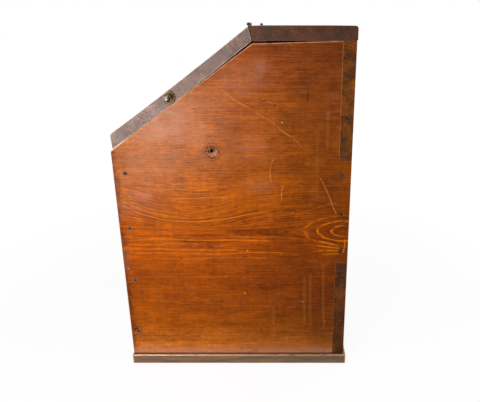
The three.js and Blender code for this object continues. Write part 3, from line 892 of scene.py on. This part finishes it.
FACE_TONES = [  # the varnished wood's colour up the side, against a share of its height
    # The lowest tone, lighter and pinker, is partly a painted sheen along the foot
    (0.01, tint(190, 104, 34)),
    (0.11, tint(152, 72, 6)),
    (0.26, tint(148, 66, 5)),
    (0.4, tint(172, 76, 4)),
    (0.5, tint(178, 84, 6)),
    (0.64, tint(174, 85, 12)),
    (0.88, tint(182, 91, 28)),
    (0.99, tint(152, 71, 27)),
]
LIFT = (1.42, 1.48, 1.55, 1)  # what light grain multiplies the tone by
SINK = (0.47, 0.39, 0.3, 1)  # and deep grain
SHADOW_BROWN = tint(58, 22, 8)
SCRATCH_PALE = tint(226, 142, 72)
PALE_EDGE_AND_HIGHLIGHT = tint(232, 166, 118)
DOT_PALE = tint(206, 150, 100)
# Pinkish pale for the painted sheen and for the paler patches
SHEEN_AND_PALE_TINT = tint(206, 150, 128)
BRIGHT_AMBER = tint(236, 132, 14)
KNOT_AMBER = tint(226, 120, 2)
NAIL_RING = tint(78, 50, 36)
HOOK_WORN = tint(188, 132, 98)
HOOK_RIM = tint(60, 36, 30)
# Dark for cracks and pits, and for the painted shade in the hook's hole
DARK_MARK_AND_SHADE = tint(38, 18, 10)


def face_colour(nodes, height):
    share = nodes.ramp(height, SIDE_LOW.z, SIDE_HIGH.z)
    ramp = nodes.add("ValToRGB", {"Fac": share})
    elements = ramp.color_ramp.elements
    elements[0].position, elements[0].color = FACE_TONES[0]
    elements[1].position, elements[1].color = FACE_TONES[-1]
    for place, colour in FACE_TONES[1:-1]:
        elements.new(place).color = colour
    return ramp.outputs[0]


def varnish_tones(wood, depth, y, z):
    """The face's colours from bottom to top and from the front to the darker back, with its grain. The
    darkening towards the back is partly painted shade, where the key light falls off.
    """
    nodes = wood.nodes
    wobble = nodes.swing(wood.noise(TONE_WOBBLE), TONE_SWAY)
    arcs, swirl = knot_arcs(wood, y, z)
    depth = nodes.sum(depth, nodes.product(swirl, KNOT_DEPTH), nodes.product(arcs, ARC_DEPTH))
    colour = face_colour(nodes, nodes.sum(z, nodes.product(wobble, 0.5)))
    colour = nodes.mix(1, colour, nodes.mix(depth, LIFT, SINK), "MULTIPLY")
    shade = nodes.step(wood.noise(TONE_PATCHES, 4, 0.6), *NOISE_RANGE, *PATCH_TONES)
    # Darker towards the back: partly painted shade of the key light's falloff
    far = nodes.step(nodes.sum(y, wobble), side_setback(FAR_PX[0]), side_setback(FAR_PX[1]), 1, FAR_SHADE)
    rub_place = nodes.combine(nodes.product(y, 1 / RUB_SIZE[0]), nodes.product(z, 1 / RUB_SIZE[1]), 0)
    rubbed = nodes.step(nodes.noise(rub_place, 3, 0.6), *NOISE_RANGE, *RUB_TONES)
    blots = nodes.step(wood.noise(TONE_BLOTS, 3, 0.6), *NOISE_RANGE, *BLOT_TONES)
    tone = nodes.product(shade, far, rubbed, blots, nodes.step(arcs, 0, 1, 1, ARC_TONE))
    colour = nodes.add("HueSaturation", {"Value": tone, "Color": colour}).outputs[0]
    return nodes.mix(nodes.product(arcs, ARC_AMBER), colour, KNOT_AMBER)


def add_smudges(wood, colour, y, z):
    """The dark front edge, dark patches, paler patches with a painted sheen on the upper left, and a painted
    sheen along the foot.
    """
    nodes = wood.nodes
    edge_noise = nodes.swing(wood.noise(FRONT_EDGE_RAG, 4, 0.7), FRONT_EDGE_SWAY)
    edge_gap = nodes.sum(nodes.minus(y, SIDE_LOW.y), edge_noise)
    colour = nodes.mix(nodes.step(edge_gap, FRONT_EDGE_REACH, 0, 0, FRONT_EDGE_SHADE), colour, SHADOW_BROWN)
    spread = nodes.step(wood.noise(SMUDGE_PATCHES), 0.2, 0.8, *SMUDGE_SPREAD)
    colour = nodes.mix(nodes.product(smudges(nodes, y, z, CLOUDS), spread), colour, SHADOW_BROWN)
    # Painted sheen of the key light on the upper left and down the left, and paler patches
    colour = nodes.mix(nodes.product(smudges(nodes, y, z, PAINTED_SHEEN_AND_PALE_PATCHES), spread), colour, SHEEN_AND_PALE_TINT)
    # Painted sheen along the foot
    foot = nodes.step(z, SIDE_LOW.z + PAINTED_FOOT_SHEEN_REACH, SIDE_LOW.z)
    return nodes.mix(nodes.product(foot, PAINTED_FOOT_SHEEN), colour, SHEEN_AND_PALE_TINT)


def add_grain_lines(wood, colour, y, z):
    """Single dark and amber lines of the grain, and the line of the bowl with its shade."""
    nodes = wood.nodes
    breaks = nodes.step(wood.noise(LINE_BREAKS), 0.3, 0.65, 0.25, 1)
    grey = nodes.product(strokes(nodes, y, z, GREY_LINES, GRAIN_WIDTH), breaks)
    colour = nodes.mix(grey, colour, SHADOW_BROWN)
    lines = nodes.product(strokes(nodes, y, z, GRAIN_LINES, GRAIN_WIDTH), breaks, GRAIN_LINE_SHARE)
    colour = nodes.mix(lines, colour, BRIGHT_AMBER)
    bowl = nodes.product(stroke_mask(nodes, y, z, BOWL_LINE, BOWL_LINE_WIDTH), BOWL_LIGHT)
    shade_line = [(x_px, y_px - BOWL_SHADE_RISE) for x_px, y_px in BOWL_LINE]
    bowl_shade = nodes.product(stroke_mask(nodes, y, z, shade_line, BOWL_LINE_WIDTH), BOWL_SHADE)
    colour = nodes.mix(bowl_shade, colour, SHADOW_BROWN)
    return nodes.mix(bowl, colour, BRIGHT_AMBER)


def add_scratches(nodes, colour, y, z, flat, breaks):
    """Scratches, cracks, smears, pits and chips."""
    smears = strokes(nodes, y, z, SMEARS, SMEAR_WIDTH)
    scratches = nodes.product(strokes(nodes, y, z, LIGHT_SCRATCHES, SCRATCH_WIDTH), breaks)
    cracks = strokes(nodes, y, z, DARK_SCRATCHES, SCRATCH_WIDTH)
    shaken = nodes.noise(nodes.scaled(flat, 1 / RAG_SIZE), 2)
    ragged_y = nodes.sum(y, nodes.swing(shaken, DOT_RAG))
    ragged_z = nodes.minus(z, nodes.swing(shaken, DOT_RAG))
    ragged = nodes.combine(ragged_y, ragged_z, 0)
    pits = dots(nodes, ragged, DARK_DOTS)
    chips = dots(nodes, ragged, LIGHT_DOTS)
    colour = nodes.mix(nodes.product(smears, SMEAR_SHARE), colour, SCRATCH_PALE)
    colour = nodes.mix(scratches, colour, SCRATCH_PALE)
    colour = nodes.mix(chips, colour, DOT_PALE)
    return nodes.mix(nodes.most(cracks, pits), colour, DARK_MARK_AND_SHADE)


def side_wear(nodes, y, z):
    """How worn the arrises are: most before the seam of the tab and above it."""
    seam_y = side_setback(SEAM_PX[0])
    faded_y = side_setback(SEAM_PX[0] - SEAM_FADE_PX[0])
    before_seam = nodes.step(y, seam_y, faded_y)
    faded_z = side_height(SEAM_PX[1] + SEAM_FADE_PX[1])
    high_seam = nodes.step(z, faded_z, side_height(SEAM_PX[1]), 0, HIGH_SEAM_WEAR)
    return nodes.product(nodes.most(before_seam, high_seam, LEAST_WEAR), VARNISHED.wear)


def paint_right_side(wood, depth, face):
    """The outer face's colours and marks, and how much the arrises are worn."""
    nodes = wood.nodes
    _, y, z = nodes.separate(wood.place)
    flat = nodes.combine(y, z, 0)
    colour = varnish_tones(wood, depth, y, z)
    colour = add_smudges(wood, colour, y, z)
    colour = add_grain_lines(wood, colour, y, z)

    worn, rim, bore_shade = hook_marks(wood, flat)
    # Painted shade down the hook's hole, on the faces inside it
    face = nodes.mix(bore_shade, face, DARK_MARK_AND_SHADE)
    colour = nodes.mix(worn, colour, HOOK_WORN)
    colour = nodes.mix(rim, colour, HOOK_RIM)

    breaks = nodes.step(wood.noise(SCRATCH_BREAKS, 3, 0.6), 0.36, 0.58, 0.2, 1)
    colour = add_scratches(nodes, colour, y, z, flat, breaks)
    # Pale top and slant edges: worn wood and a painted highlight where the arris catches the light
    edges = nodes.most(edge_line(wood, lid_out), edge_line(wood, Z))
    colour = nodes.mix(nodes.product(edges, breaks, EDGE_SHARE), colour, PALE_EDGE_AND_HIGHLIGHT)
    colour = nodes.mix(nail_rings(nodes, flat), colour, NAIL_RING)

    outer = nodes.step(nodes.separate(wood.normal)[0], *OUTER_TURN)
    worn_share = side_wear(nodes, y, z)
    return nodes.mix(outer, face, colour), worn_share


def edge_line(wood, outward):
    """One beside the right side's largest face that looks outward, fading to nothing over EDGE_REACH."""
    mesh = cad_nodes["side_panel_right"].data
    faces = [face for face in mesh.polygons if face.normal.dot(outward) > EDGE_ALIGNMENT]
    face = max(faces, key=lambda face: face.area)
    offset = face.normal.dot(mesh.vertices[face.vertices[0]].co)
    gap = wood.nodes.minus(offset, wood.nodes.dot(wood.place, face.normal.copy()))
    return wood.nodes.step(gap, EDGE_REACH, EDGE_CORE * EDGE_REACH)


def nail_rings(nodes, flat):
    """Wood bruised dark round the heads of the nails."""
    total = 0
    for node in cad_nodes:
        if node.startswith(("front_nail_right", "tab_nail_right")):
            centre = middle(node)
            gap = nodes.distance(flat, (centre.y, centre.z, 0))
            total = nodes.most(total, nodes.step(gap, *NAIL_RING_REACH, 0, NAIL_RING_SHARE))
    return total


def hook_marks(wood, flat):
    """Where a hook's plate sat: a worn patch, broken dark rims round it, and the hole painted dark as shade.
    """
    nodes = wood.nodes
    gap = nodes.distance(flat, (*side_place(HOOK_PX), 0))
    ragged = nodes.sum(gap, nodes.swing(wood.noise(HOOK_RAG, 3, 0.6), HOOK_SWAY))
    breaks = wood.noise(HOOK_BREAKS, 3, 0.6)
    chip_gap = nodes.distance(flat, (*side_place(HOOK_CHIP_PX), 0))
    patchy = nodes.most(nodes.step(breaks, 0.44, 0.6), nodes.step(chip_gap, *HOOK_CHIP_REACH))
    worn = nodes.product(nodes.step(ragged, HOOK_RADIUS, 0.8 * HOOK_RADIUS), patchy, HOOK_WORN_SHARE)
    inner = hook_rim(nodes, ragged, INNER_RIM)
    outer = hook_rim(nodes, ragged, OUTER_RIM)
    rims = nodes.sum(nodes.product(inner, INNER_RIM[2]), nodes.product(outer, OUTER_RIM[2]))
    bore_shade = nodes.step(gap, BORE_SHADE_REACH[0] * HOOK_RADIUS, BORE_SHADE_REACH[1] * HOOK_RADIUS)
    return worn, nodes.product(rims, nodes.step(breaks, 0.64, 0.46, 0.2, 1)), bore_shade


def hook_rim(nodes, gap, rim):
    return nodes.bell(nodes.offset(gap, rim[0] * HOOK_RADIUS, rim[1]))


# Metal

# A knob or rose is brighter on the side that faces front and up: worn by hands, and a painted highlight where
# the key light falls
POLISHED_LIT_SIDE = Vector((0.45, -0.8, 0.4)).normalized()
POLISHED_LIT_TURN = (-0.1, 0.7)
METAL_PATCH = 0.003
METAL_PATCH_RANGE = (0.38, 0.66)
METAL_PATCH_SHARE = 0.45
METAL_ARRIS = 0.0008
METAL_ROUGHER = 0.18


def metal_material(name, bright, dull, roughness, lit_side_polish=0):
    material, nodes, shader = new_material(name, Metallic=1.0)
    place = nodes.object_place()
    patches = nodes.step(nodes.noise(nodes.scaled(place, 1 / METAL_PATCH), 4, 0.6), *METAL_PATCH_RANGE)
    # Brighter on one side: wear from hands, and a painted highlight on the lit side
    rubbed = nodes.step(nodes.dot(nodes.object_normal(), POLISHED_LIT_SIDE), *POLISHED_LIT_TURN, 0, lit_side_polish)
    share = nodes.most(nodes.product(patches, METAL_PATCH_SHARE), nodes.arris(METAL_ARRIS), rubbed)
    nodes.feed(shader.inputs["Base Color"], nodes.mix(share, dull, bright))
    nodes.feed(shader.inputs["Roughness"], nodes.step(patches, 0, 1, roughness + METAL_ROUGHER, roughness))
    nodes.feed(shader.inputs["Normal"], nodes.bump(patches, METAL_RELIEF))
    return material


# Finer turned pieces, which stand for the CAD's knobs and roses

TURNED_SIDES = 64
BALL_STEPS = 18
ROSE_RADIUS = 0.0095
ROSE_THICKNESS = 0.0013
ROSE_HOLE = 0.002
ROSE_EDGE = 0.0006
ROSE_SHOULDER = (0.0092, 0.0012)
ROSE_RIM = (0.0078, 0.0014)
ROSE_RIM_ROUND = 0.0012
ROSE_DISH = 0.0056
RIM_STEPS = 10
CUP_STEPS = 6
KNOB_GAP = 0.0002
BALL_RADIUS = 0.005
BALL_REACH = 0.014
STEM_RADIUS = 0.0023
FOOT_RADIUS = 0.0036
FOOT_THICKNESS = 0.0014
SHANK_RADIUS = 0.0018
SHANK_LENGTH = 0.018


def arc(centre, radius, start, end, steps):
    """Points on an arc of a turned profile, as (radius, height), between two angles in degrees."""
    angles = [math.radians(start + (end - start) * i / steps) for i in range(steps + 1)]
    return [(centre[0] + radius * math.cos(a), centre[1] + radius * math.sin(a)) for a in angles]


def rose_profile():
    rim = arc(ROSE_RIM, ROSE_RIM_ROUND, 150, 0, RIM_STEPS)
    return [(ROSE_HOLE, 0), (ROSE_RADIUS, 0), (ROSE_RADIUS, ROSE_EDGE), ROSE_SHOULDER, *reversed(rim),
            (ROSE_DISH, ROSE_THICKNESS), (ROSE_HOLE, ROSE_THICKNESS), (ROSE_HOLE, 0)]


def knob_profile():
    foot = ROSE_THICKNESS + KNOB_GAP
    neck = math.degrees(math.acos(STEM_RADIUS / BALL_RADIUS))
    ball = arc((0, BALL_REACH), BALL_RADIUS, -neck, 90, BALL_STEPS)
    cup = arc((FOOT_RADIUS, foot + 2 * FOOT_THICKNESS), FOOT_RADIUS - STEM_RADIUS, -90, -180, CUP_STEPS)
    return [(0, -SHANK_LENGTH), (SHANK_RADIUS, 2 * SHANK_RADIUS - SHANK_LENGTH), (SHANK_RADIUS, foot),
            (FOOT_RADIUS, foot), *cup, *ball[:-1], (0, BALL_REACH + BALL_RADIUS)]


def turned_piece(name, profile, material, base, side):
    """A profile turned about the X axis from `base`, pointing to `side`."""
    mesh = bmesh.new()
    spots = [mesh.verts.new((side * height, 0, radius)) for radius, height in profile]
    edges = [mesh.edges.new(pair) for pair in zip(spots, spots[1:])]
    turn = {"cent": (0, 0, 0), "axis": (1, 0, 0), "angle": math.tau, "steps": TURNED_SIDES}
    bmesh.ops.spin(mesh, geom=spots + edges, use_merge=True, **turn)
    bmesh.ops.remove_doubles(mesh, verts=mesh.verts, dist=WELD_REACH)
    bmesh.ops.recalc_face_normals(mesh, faces=mesh.faces)
    bmesh.ops.translate(mesh, verts=mesh.verts, vec=base)
    data = bpy.data.meshes.new(name)
    mesh.to_mesh(data)
    mesh.free()
    data.materials.append(material)
    data.shade_smooth()
    data.set_sharp_from_angle(angle=SHARP_ANGLE)
    return new_object(name, data)


def make_knob(word, side, ball_metal, rose_metal):
    low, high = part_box(f"knob_rose_{word}")
    inner_x = low.x if side > 0 else high.x
    base = Vector((inner_x, (low.y + high.y) / 2, (low.z + high.z) / 2))
    pieces = ((f"knob_rose_{word}", rose_profile(), rose_metal), (f"knob_{word}", knob_profile(), ball_metal))
    for name, profile, metal in pieces:
        piece = turned_piece(f"turned_{name}", profile, metal, base, side)
        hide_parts(name)
        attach(piece, "lid")


# Dressing the CAD nodes

def dress(node, material, bevel):
    piece = cad_nodes[node]
    piece.data.materials.clear()
    piece.data.materials.append(material)
    weld = piece.modifiers.new("Weld", "WELD")
    weld.merge_threshold = WELD_REACH
    rounding = piece.modifiers.new("Arrises", "BEVEL")
    rounding.width = bevel
    rounding.segments = BEVEL_STEPS
    rounding.limit_method = "ANGLE"
    rounding.angle_limit = SHARP_ANGLE
    rounding.harden_normals = True


VARNISHED = Finish(
    light=tint(198, 102, 20),
    deep=tint(120, 54, 9),
    end_light=tint(138, 70, 26),
    end_deep=tint(44, 18, 7),
    worn=tint(220, 154, 108),
)
BACK_FINISH = Finish(
    light=tint(190, 96, 16),
    deep=tint(96, 40, 6),
    end_light=tint(152, 84, 30),
    end_deep=tint(30, 14, 6),
    worn=tint(150, 96, 60),
    wear=0.3,
    end_stain=tint(40, 32, 28),
    end_rings=0.55,
    foot_shade=0.5,
)
LID_STAIN_AND_END_SHEEN = Finish(
    light=tint(150, 88, 58),
    deep=tint(72, 38, 24),
    # The pale, greyish-pink end colours are partly the stained wood and partly a painted sheen of the key
    # light on the lid's end
    end_light=tint(182, 145, 136),
    end_deep=tint(62, 44, 45),
    worn=tint(236, 200, 178),
    roughness=0.36,
    gloss=0.26,
    wear=0.95,
    end_stain=tint(126, 110, 108),
    grime=0.2,
    end_rings=0.35,
    saw_marks=0.8,
)
TOP_STAIN = Finish(
    light=tint(118, 68, 42),
    deep=tint(60, 30, 18),
    end_light=tint(122, 71, 54),
    end_deep=tint(40, 21, 18),
    worn=tint(150, 100, 72),
    roughness=0.38,
    gloss=0.2,
    wear=0.5,
    end_stain=tint(64, 56, 44),
    back_shade=0.35,
    grime=0.3,
    end_rings=0.35,
    saw_marks=0.35,
)
BASE_STAIN = Finish(
    light=tint(126, 80, 52),
    deep=tint(58, 32, 20),
    end_light=tint(104, 62, 42),
    end_deep=tint(46, 26, 18),
    worn=tint(206, 156, 118),
    roughness=0.3,
    gloss=0.9,
    wear=0.7,
    grime=0.3,
    back_shade=0.4,
)

right_timber = Timber("side_panel_right", Y, Z, side_place(KNOT_PX)[1] - middle("side_panel_right").z, 0.03,
                      ring=0.0038, seed=3, figure=right_side_figure)
boards = (
    (right_timber, VARNISHED, paint_right_side),
    (Timber("side_panel_left", Y, Z, 0.05, -0.02, seed=9), VARNISHED),
    (Timber("front_panel", X, Z, 0.02, 0.04, seed=21), VARNISHED),
    (Timber("back_panel", X, Z, 0.12, 0.05, seed=33), BACK_FINISH),
    (Timber("top_rail", X, Z, 0.03, 0.02, seed=83), VARNISHED),
    (Timber("bottom_board", Y, X, 0.03, 0.06, seed=45), BASE_STAIN),
    (Timber("top_board", X, Y, 0.5, 0.24, ring=0.0026, seed=57), TOP_STAIN),
    (Timber("lid_board", X, lid_up, -0.5, -0.13, ring=0.003, seed=69), LID_STAIN_AND_END_SHEEN),
)
for timber, finish, *paint in boards:
    dress(timber.board, wood_material(timber, finish, *paint), BOARD_BEVEL)

brass = metal_material("aged_brass", tint(192, 160, 116), tint(78, 57, 38), 0.28, lit_side_polish=0.4)
tarnished = metal_material("tarnished_brass", tint(92, 78, 58), tint(26, 22, 16), 0.4)
bronze = metal_material("dark_bronze", tint(176, 160, 144), tint(34, 26, 20), 0.24, lit_side_polish=0.9)
iron = metal_material("rusty_iron", tint(122, 90, 70), tint(56, 38, 28), 0.5)
for word, metal in (("nail", iron), ("hinge", tarnished), ("knob", bronze)):
    for node in cad_nodes:
        if word in node:
            dress(node, metal, METAL_BEVEL)
make_knob("right", 1, bronze, brass)
make_knob("left", -1, bronze, brass)


# Studio

def seen_share(nodes):
    """One for rays from the camera, mirror images and refractions, which all show the same background."""
    path = nodes.add("LightPath").outputs
    return nodes.most(path["Is Camera Ray"], path["Is Glossy Ray"], path["Is Transmission Ray"])


def make_room():
    world = bpy.data.worlds.new("room")
    bpy.context.scene.world = world
    world.use_nodes = True
    nodes = Nodes(world.node_tree)
    background = world.node_tree.nodes["Background"]
    background.inputs["Color"].default_value = (1, 1, 1, 1)
    strength = nodes.math("MULTIPLY_ADD", seen_share(nodes), BACKDROP - ROOM_LIGHT, ROOM_LIGHT)
    nodes.feed(background.inputs["Strength"], strength)


def make_floor():
    bpy.ops.mesh.primitive_plane_add(size=FLOOR_SIZE)
    floor = bpy.context.object
    floor.name = "floor"
    material = bpy.data.materials.new("pale_floor")
    material.use_nodes = True
    tree = material.node_tree
    nodes = Nodes(tree)
    tree.nodes.remove(tree.nodes["Principled BSDF"])
    plain = nodes.add("BsdfDiffuse", {"Color": (FLOOR_TONE, FLOOR_TONE, FLOOR_TONE, 1)}).outputs[0]
    shade = nodes.add("BsdfDiffuse", {"Color": (FLOOR_SHADE, FLOOR_SHADE, FLOOR_SHADE, 1)}).outputs[0]
    away = nodes.vector_math("LENGTH", nodes.object_place()).outputs["Value"]
    strength = nodes.step(away, *FLOOR_GLOW_REACH, FLOOR_GLOW_NEAR, 1)
    glow = nodes.add("Emission", {"Color": (1, 1, 1, 1), "Strength": strength}).outputs[0]
    shown = nodes.add("AddShader", {0: shade, 1: glow}).outputs[0]
    surface = nodes.add("MixShader", {0: seen_share(nodes), 1: plain, 2: shown}).outputs[0]
    nodes.feed(tree.nodes["Material Output"].inputs["Surface"], surface)
    floor.data.materials.append(material)


def mirrored_place(pixel, x):
    """Where the sight line through a pixel goes after the right side mirrors it, at this x."""
    hit = Vector((RIGHT_FACE_X, *side_place(pixel)))
    line = hit - CAMERA_PLACE
    away = Vector((-line.x, line.y, line.z))
    return hit + away * ((x - hit.x) / away.x)


def make_lamp(name, place, size, power):
    data = bpy.data.lights.new(name, "AREA")
    data.shape = "ELLIPSE"
    data.size, data.size_y = size
    data.energy = power
    lamp = new_object(name, data)
    lamp.visible_camera = False
    lamp.location = place
    target = (cad_box[0] + cad_box[1]) / 2
    lamp.rotation_euler = (target - place).to_track_quat("-Z", "Y").to_euler()


def make_camera():
    data = bpy.data.cameras.new("camera")
    data.sensor_width = SENSOR_WIDTH
    data.lens = FOCAL_PX / PHOTO_WIDTH * SENSOR_WIDTH
    data.shift_x = (PHOTO_WIDTH / 2 - CENTRE_PX[0]) / PHOTO_WIDTH
    camera = new_object("camera", data)
    camera.location = CAMERA_PLACE
    camera.rotation_euler = (math.pi / 2 - CAMERA_TIP, 0, math.pi / 2)
    bpy.context.scene.camera = camera


make_room()
make_floor()
make_lamp("key", mirrored_place(KEY_MIRROR_PX, KEY_X), KEY_SIZE, KEY_POWER)
make_lamp("fill", FILL_PLACE, FILL_SIZE, FILL_POWER)
make_lamp("back", BACK_PLACE, BACK_SIZE, BACK_POWER)
make_camera()
bpy.context.scene.view_settings.view_transform = "Standard"
